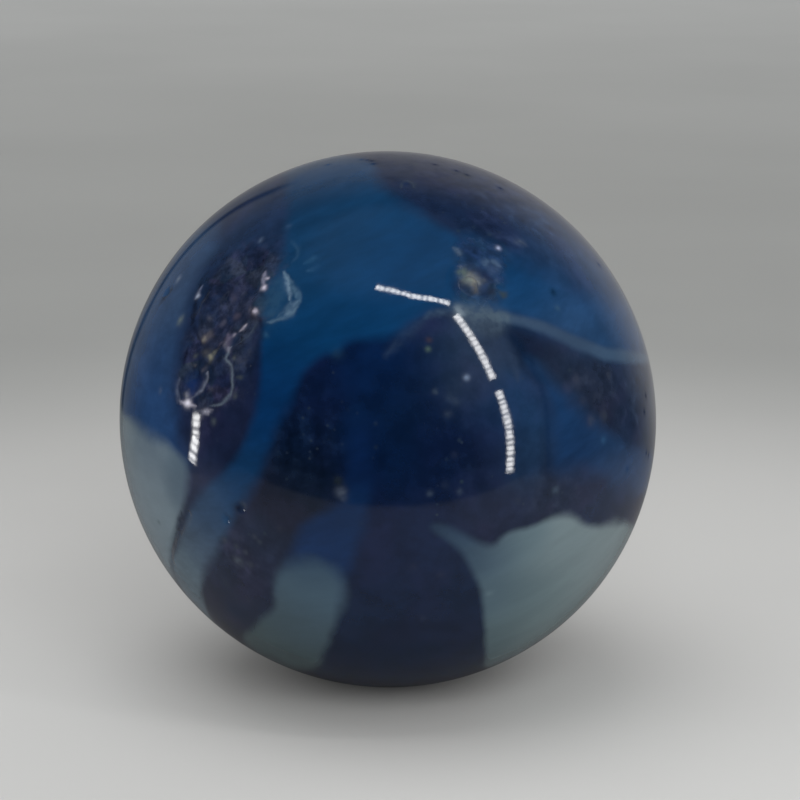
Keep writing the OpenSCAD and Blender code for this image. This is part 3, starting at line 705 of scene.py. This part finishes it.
def build_skin():
    """The marble's skin, shaped and with its fields marked on it."""
    noise.seed_set(NOISE_SEED)
    mesh = fine_ball()
    directions = directions_of(mesh)
    rough = directions
    for size, amount, seed in RAGGED:
        rough = jitter(rough, size, amount, seed)
    reach = smoothed(mesh, worn_reach(directions, rough), SMOOTHINGS)
    mesh.vertices.foreach_set("co", (directions * (reach * MM)[:, None]).ravel())
    mesh.polygons.foreach_set("use_smooth", [True] * len(mesh.polygons))
    paint, cover = painted_marks(rough)
    for name, fields in (("blue_edge", BLUE_FIELDS), ("milk_edge", MILK_FIELDS)):
        put_values(mesh, name, field_edge(directions, fields))
    for name, patch in (("chip_edge", CHIP_PATCH), ("stone_edge", STONE_PATCH)):
        put_values(mesh, name, edge_distance(directions, patch))
    put_values(mesh, "specks", speck_share(directions))
    put_values(mesh, "cover", cover)
    put_values(mesh, "pecked", peck_share(rough))
    put_colours(mesh, "paint", paint)
    for name, tints in (("blue_tint", BLUE_TINTS), ("milk_tint", MILK_TINTS), ("glass_tint", GLASS_TINTS)):
        put_colours(mesh, name, blend_tints(directions, tints))
    mesh.update()
    return add_object("marble_glass", mesh)


def feed(tree, socket, value):
    """Links a socket to another one, or sets it to a plain value."""
    if isinstance(value, bpy.types.NodeSocket):
        tree.links.new(value, socket)
    else:
        socket.default_value = value


def add_node(tree, kind, *values, **named):
    """A new shader node of this kind, with its inputs fed in order or by name."""
    found = tree.nodes.new("ShaderNode" + kind)
    for place, value in [*enumerate(values), *named.items()]:
        feed(tree, found.inputs[place], value)
    return found


def maths(tree, operation, *values):
    """The result of a maths node."""
    found = add_node(tree, "Math")
    found.operation = operation
    for socket, value in zip(found.inputs, values):
        feed(tree, socket, value)
    return found.outputs[0]


def times(tree, first, second):
    """Two numbers multiplied."""
    return maths(tree, "MULTIPLY", first, second)


def mix(tree, share, first, second, blend="MIX"):
    """Mixes two colours."""
    found = add_node(tree, "Mix")
    found.data_type = "RGBA"
    found.blend_type = blend
    feed(tree, found.inputs[0], share)
    feed(tree, found.inputs[6], first)
    feed(tree, found.inputs[7], second)
    return found.outputs[2]


def step_between(tree, value, low, high, to_low=0, to_high=1):
    """Smooth step from one number to another, while a value goes from low to high."""
    found = add_node(tree, "MapRange", value, low, high, to_low, to_high)
    found.interpolation_type = "SMOOTHSTEP"
    return found.outputs[0]


def axes(tree, where):
    """The outputs X, Y and Z of a vector."""
    return add_node(tree, "SeparateXYZ", where).outputs


def vector_maths(tree, operation, vector, output):
    """The result of a vector maths node."""
    found = add_node(tree, "VectorMath", vector)
    found.operation = operation
    return found.outputs[output]


def stretched(tree, where, scale, turn=(0, 0, 0)):
    """The coordinates turned by these degrees, then scaled along each axis: larger draws the pattern out."""
    turn = [math.radians(angle) for angle in turn]
    found = add_node(tree, "Mapping", Vector=where, Rotation=turn, Scale=scale)
    found.vector_type = "TEXTURE"
    return found.outputs[0]


def cloud(tree, where, scale, detail=3, roughness=0.5):
    """Noise from 0 to 1, this many cells to a unit of the coordinates."""
    found = add_node(tree, "TexNoise", Vector=where, Scale=scale, Detail=detail, Roughness=roughness)
    return found.outputs["Fac"]


def cells(tree, where, scale, output="Distance"):
    """Scattered cells, this many to a millimetre."""
    return add_node(tree, "TexVoronoi", Vector=where, Scale=scale).outputs[output]


def attribute(tree, name, output="Fac"):
    """A value that the mesh carries."""
    found = add_node(tree, "Attribute")
    found.attribute_name = name
    return found.outputs[output]


def mottled(tree, where, tint, size, low, high):
    """A tint that a noise makes darker and paler."""
    share = step_between(tree, cloud(tree, where, size, 4, 0.6), 0.3, 0.7, low, high)
    return mix(tree, 1, tint, share, "MULTIPLY")


def speck_cover(tree, where, scale, radius):
    """Cover of faint round specks, in the parts of the glass that hold them."""
    near = step_between(tree, cells(tree, where, scale), radius, 0)
    lot = add_node(tree, "SeparateColor", cells(tree, where, scale, "Color")).outputs
    most = times(tree, attribute(tree, "specks"), SPECKS_KEPT)
    kept = maths(tree, "LESS_THAN", lot["Red"], most)
    strength = maths(tree, "MULTIPLY_ADD", lot["Green"], 0.6, 0.1)
    return times(tree, times(tree, near, kept), strength)


def dark_glass(tree, where):
    """The dark glass: mottled, here and there a little purple, with faint blotches and specks."""
    glass = mottled(tree, where, attribute(tree, "glass_tint", "Color"), 1.4, 0.82, 1.2)
    purple = step_between(tree, cloud(tree, where, 0.7, 2), 0.45, 0.65, 0, 0.35)
    glass = mix(tree, purple, glass, PURPLE, "MULTIPLY")
    blotch = cloud(tree, where, 2.4, 2)
    specks = attribute(tree, "specks")
    paler = times(tree, specks, step_between(tree, blotch, 0.48, 0.75, 0, 0.8))
    glass = mix(tree, paler, glass, PALER, "MULTIPLY")
    darker = times(tree, specks, step_between(tree, blotch, 0.5, 0.3, 0, 0.7))
    glass = mix(tree, darker, glass, DARKER, "MULTIPLY")
    glass = mix(tree, speck_cover(tree, where, 2.6, 0.27), glass, SPECK_TONE)
    return mix(tree, speck_cover(tree, where, 4.6, 0.3), glass, FINE_SPECK_TONE)


def field_colour(tree, where):
    """Colour of the whole glass: dark, then blue and milky fields over it."""
    wander = maths(tree, "SUBTRACT", cloud(tree, where, 1.1, 3, 0.55), 0.5)
    blue_edge = maths(tree, "MULTIPLY_ADD", wander, 1.2, attribute(tree, "blue_edge"))
    milk_edge = maths(tree, "MULTIPLY_ADD", wander, 1, attribute(tree, "milk_edge"))
    streaks = stretched(tree, where, (2.4, 1.2, 0.6), (0, -20, 21))
    blues = mottled(tree, streaks, attribute(tree, "blue_tint", "Color"), 0.9, 0.88, 1.12)
    blues = mottled(tree, streaks, blues, 2.6, 0.93, 1.07)
    milks = mottled(tree, streaks, attribute(tree, "milk_tint", "Color"), 0.8, 0.94, 1.06)
    colour = mix(tree, step_between(tree, blue_edge, -1, 1), dark_glass(tree, where), blues)
    return mix(tree, step_between(tree, milk_edge, -1, 1), colour, milks)


def bruised(tree, where, tones):
    """Crushed glass: dark and paler swirls and flakes, with grit and thin bright cracks."""
    dark, pale, crack = tones
    swirl = cloud(tree, where, 1.1, 4, 0.55)
    swirl.node.inputs["Distortion"].default_value = 0.6
    colour = mix(tree, step_between(tree, swirl, 0.36, 0.64), dark, pale)
    colour = mix(tree, 0.25, colour, cells(tree, where, 1.6, "Color"), "MULTIPLY")
    grit = step_between(tree, cloud(tree, where, 3.8, 4, 0.65), 0.35, 0.65, 0.65, 1.6)
    colour = mix(tree, 1, colour, grit, "MULTIPLY")
    contour = maths(tree, "ABSOLUTE", maths(tree, "SUBTRACT", cloud(tree, where, 1.3, 2), 0.5))
    thin = step_between(tree, contour, 0.02, 0.002)
    kept = step_between(tree, cloud(tree, where, 1, 2), 0.5, 0.62, 0, 0.15)
    return mix(tree, times(tree, thin, kept), colour, crack)


def scuffs(tree, where):
    """Share of dull scuffs, which the crown of the ball has."""
    crown = step_between(tree, axes(tree, where)["Z"], *CROWN_HEIGHTS, 0, SCUFFED)
    return times(tree, crown, step_between(tree, cloud(tree, where, 2, 5, 0.7), 0.46, 0.62))


def new_material(name):
    """A new material, with its node tree and its shader."""
    material = bpy.data.materials.new(name)
    material.use_nodes = True
    tree = material.node_tree
    return material, tree, tree.nodes["Principled BSDF"]


def painted(tree, where, colour):
    """The colour with the painted strokes and spots over it, which a noise breaks up a little. Some of them
    are painted highlights and painted shade.
    """
    broken = step_between(tree, cloud(tree, where, 4.5, 2), 0.35, 0.6, 0.6, 1)
    cover = times(tree, attribute(tree, "cover"), broken)
    paint = mix(tree, 1, attribute(tree, "paint", "Color"), broken, "MULTIPLY")
    return mix(tree, 1, mix(tree, cover, colour, (0, 0, 0, 1)), paint, "ADD")


def glass_material():
    """Dark glass with blue and milky fields, specks, streaks and crushed places, and painted highlights and
    painted shade among its painted marks.
    """
    material, tree, shader = new_material("marble_glass")
    coords = add_node(tree, "TexCoord").outputs["Object"]
    where = stretched(tree, coords, (MM, MM, MM))
    colour = field_colour(tree, where)
    fine = cloud(tree, where, 3.2, 4, 0.65)
    chip_edge = maths(tree, "MULTIPLY_ADD", fine, 1.1, attribute(tree, "chip_edge"))
    chipped = step_between(tree, chip_edge, 0.2, 1)
    stone_edge = maths(tree, "MULTIPLY_ADD", fine, 1, attribute(tree, "stone_edge"))
    stony = step_between(tree, stone_edge, 0.25, 0.9)
    for share, most, tones in ((chipped, CHIP_COVER, CHIP_TONES), (stony, STONE_COVER, STONE_TONES)):
        colour = mix(tree, times(tree, share, most), colour, bruised(tree, where, tones))
    feed(tree, shader.inputs["Base Color"], painted(tree, where, colour))

    shader.inputs["IOR"].default_value = GLASS_IOR
    scuffed = scuffs(tree, where)
    crushed = maths(tree, "MAXIMUM", maths(tree, "MAXIMUM", times(tree, chipped, 0.5), stony), scuffed)
    gloss = maths(tree, "MULTIPLY_ADD", crushed, -GLOSS_LOST, GLOSS)
    whole = maths(tree, "SUBTRACT", 1, attribute(tree, "pecked"))
    feed(tree, shader.inputs["Specular IOR Level"], times(tree, gloss, whole))
    rough = step_between(tree, cloud(tree, where, 1.1, 4), 0.3, 0.8, *ROUGHNESS)
    for share, rougher in ((chipped, CHIP_ROUGHER), (stony, STONE_ROUGHER), (scuffed, SCUFF_ROUGHER)):
        rough = maths(tree, "MULTIPLY_ADD", share, rougher, rough)
    feed(tree, shader.inputs["Roughness"], rough)
    ripples = cloud(tree, where, 3, 5, 0.6)
    bump = add_node(tree, "Bump", Strength=RIPPLE_SHARE, Distance=RIPPLE_DEPTH * MM, Height=ripples)
    feed(tree, shader.inputs["Normal"], bump.outputs[0])
    return material


def room_level(tree, ways):
    """How bright the room is in each direction, as the glass mirrors it: dark in front, pale behind."""
    way = axes(tree, ways)
    behind = step_between(tree, way["Y"], 0.45, 0.85)
    beside = step_between(tree, way["X"], -0.7, 0.6, *WALL_LEVELS)
    lean = maths(tree, "MULTIPLY_ADD", way["Z"], -GAP_LEAN, way["X"])
    from_gap = maths(tree, "ABSOLUTE", maths(tree, "ADD", lean, GAP_LEFT))
    gap = times(tree, step_between(tree, from_gap, 0.07, 0.005), step_between(tree, way["Z"], 0.5, 0.38))
    beside = times(tree, beside, maths(tree, "SUBTRACT", 1, gap))
    above = step_between(tree, way["Z"], 0.86, 0.95, *CEILING_LEVELS)
    return maths(tree, "MULTIPLY_ADD", behind, beside, above)


def mirrored_ray(tree):
    """1 for the rays that the glass mirrors, and 0 for the others."""
    return add_node(tree, "LightPath").outputs["Is Glossy Ray"]


def floor_material():
    """Pale matt paper, paler near the ball, with painted shade under the front lamp. The glass mirrors it as
    a small table in a dim room.
    """
    material, tree, shader = new_material("floor")
    shader.inputs["Roughness"].default_value = PAPER_ROUGHNESS
    shader.inputs["Specular IOR Level"].default_value = PAPER_GLOSS
    coords = add_node(tree, "TexCoord").outputs["Object"]
    distance = vector_maths(tree, "LENGTH", coords, "Value")
    forward = axes(tree, coords)["Y"]
    round_ball = step_between(tree, distance, *ROUND_BALL)
    tone = mix(tree, round_ball, NEAR_TONE, ROUND_TONE)
    tone = mix(tree, step_between(tree, distance, *FAR_OFF), tone, FAR_TONE)
    grain = step_between(tree, cloud(tree, coords, 40), 0.2, 0.8, 0.97, 1.03)
    tone = mix(tree, 1, tone, grain, "MULTIPLY")
    # Painted shade: the floor under the front lamp is darker, against the bright pool of the lamp's light
    painted_pool_shade = times(tree, *[step_between(tree, forward, *ends) for ends in LAMP_POOL_SHADE_SPOT])
    tone = mix(tree, painted_pool_shade, tone, LAMP_POOL_SHADE_TONE)

    way = vector_maths(tree, "NORMALIZE", coords, "Vector")
    level = mix(tree, round_ball, TABLE_LEVEL, room_level(tree, way))
    level = mix(tree, step_between(tree, forward, *TABLE_EDGE), FRONT_LEVEL, level)
    mirrored = mirrored_ray(tree)
    feed(tree, shader.inputs["Base Color"], mix(tree, mirrored, tone, level))
    room = add_node(tree, "Emission", level)
    room_share = times(tree, mirrored, step_between(tree, distance, *HORIZON))
    either = add_node(tree, "MixShader", room_share, shader.outputs[0], room.outputs[0])
    feed(tree, tree.nodes["Material Output"].inputs["Surface"], either.outputs[0])
    return material


def add_floor():
    """A plain pale floor under the ball, wide enough to fill the view."""
    mesh = bpy.data.meshes.new("floor")
    bm = bmesh.new()
    bmesh.ops.create_circle(bm, cap_ends=True, segments=96, radius=FLOOR_R)
    bmesh.ops.translate(bm, verts=bm.verts, vec=(0, 0, -BALL_R * MM))
    bm.to_mesh(mesh)
    bm.free()
    mesh.materials.append(floor_material())
    floor = add_object("floor", mesh)


def aim(thing):
    """Turns a lamp or the camera so that it looks at the ball."""
    way = Vector((0, 0, 0)) - thing.location
    thing.rotation_euler = way.to_track_quat("-Z", "Y").to_euler()


def add_lamp(name, place, size, power):
    """A soft square lamp, which the glass does not mirror."""
    data = bpy.data.lights.new(name, "AREA")
    data.size = size
    data.energy = power
    lamp = add_object(name, data)
    lamp.location = place
    lamp.visible_camera = False
    lamp.visible_glossy = False
    aim(lamp)


def bead_light(data, between):
    """Makes a slim lamp shine like a row of small ones, with this brightness between them."""
    data.use_nodes = True
    tree = data.node_tree
    on_lamp = axes(tree, add_node(tree, "NewGeometry").outputs["Parametric"])
    beads = round(data.size / (BEAD * MM))
    wave = maths(tree, "SINE", times(tree, on_lamp["X"], beads * 2 * math.pi))
    swell = maths(tree, "SINE", times(tree, on_lamp["X"], beads * PACE))
    swing = maths(tree, "ADD", times(tree, wave, EVEN), times(tree, swell, UNEVEN))
    along = step_between(tree, swing, -1, 0.5, between, IN_BEAD)
    from_middle = maths(tree, "ABSOLUTE", maths(tree, "SUBTRACT", on_lamp["Y"], 0.5))
    across = step_between(tree, from_middle, 0.15, 0.5, 1, 0.1)
    feed(tree, tree.nodes["Emission"].inputs["Strength"], times(tree, along, across))


def mirrored_point(lon, lat, far):
    """The point this far from the glass that the camera sees mirrored at a place on the ball."""
    normal = Vector(outward(lon, lat))
    spot = normal * BALL_R
    view = (Vector(outward(0, VIEW_LAT)) * VIEW_FAR - spot).normalized()
    return (spot - view.reflect(normal) * far) * MM


def add_strip(name, start, end, width, between):
    """A slim lamp from one point to another that faces the ball. Its width is in millimetres."""
    middle, along = (start + end) / 2, (end - start).normalized()
    data = bpy.data.lights.new(name, "AREA")
    data.shape = "RECTANGLE"
    data.size = (end - start).length
    data.size_y = width * MM
    data.energy = STRIP_RADIANCE * math.pi * data.size * data.size_y
    bead_light(data, between)
    lamp = add_object(name, data)
    back = (middle - along * middle.dot(along)).normalized()
    turned = Matrix((along, back.cross(along), back)).transposed().to_4x4()
    lamp.matrix_world = Matrix.Translation(middle) @ turned
    lamp.visible_camera = False


def add_light():
    """A soft dome and soft lamps that light the colours, and slim lamps for the highlights."""
    for lamp in LAMPS:
        add_lamp(*lamp)
    for name, far, width, between, places in STRIPS:
        points = [mirrored_point(*place, far) for place in places]
        for start, end in zip(points, points[1:]):
            add_strip(name, start, end, width, between)
    world = bpy.data.worlds.new("room")
    bpy.context.scene.world = world
    world.use_nodes = True
    tree = world.node_tree
    ways = add_node(tree, "TexCoord").outputs["Generated"]
    tone = mix(tree, mirrored_ray(tree), WORLD_TONE, room_level(tree, ways))
    feed(tree, tree.nodes["Background"].inputs["Color"], tone)


def add_camera():
    """The photograph's view: from the front and a little above, from far enough for a long lens."""
    data = bpy.data.cameras.new("camera")
    data.lens, data.sensor_width = LENS, SENSOR
    data.shift_x, data.shift_y = SHIFT
    data.clip_start = 0.005
    camera = add_object("camera", data)
    camera.location = outward(0, VIEW_LAT) * VIEW_FAR * MM
    aim(camera)
    bpy.context.scene.camera = camera


def add_marble():
    """The marble's looks, on the CAD body."""
    ball = build_skin()
    ball.data.materials.append(glass_material())
    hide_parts("marble")
    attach(ball, "root")


add_marble()
add_floor()
add_light()
add_camera()
bpy.context.scene.view_settings.view_transform = "Standard"
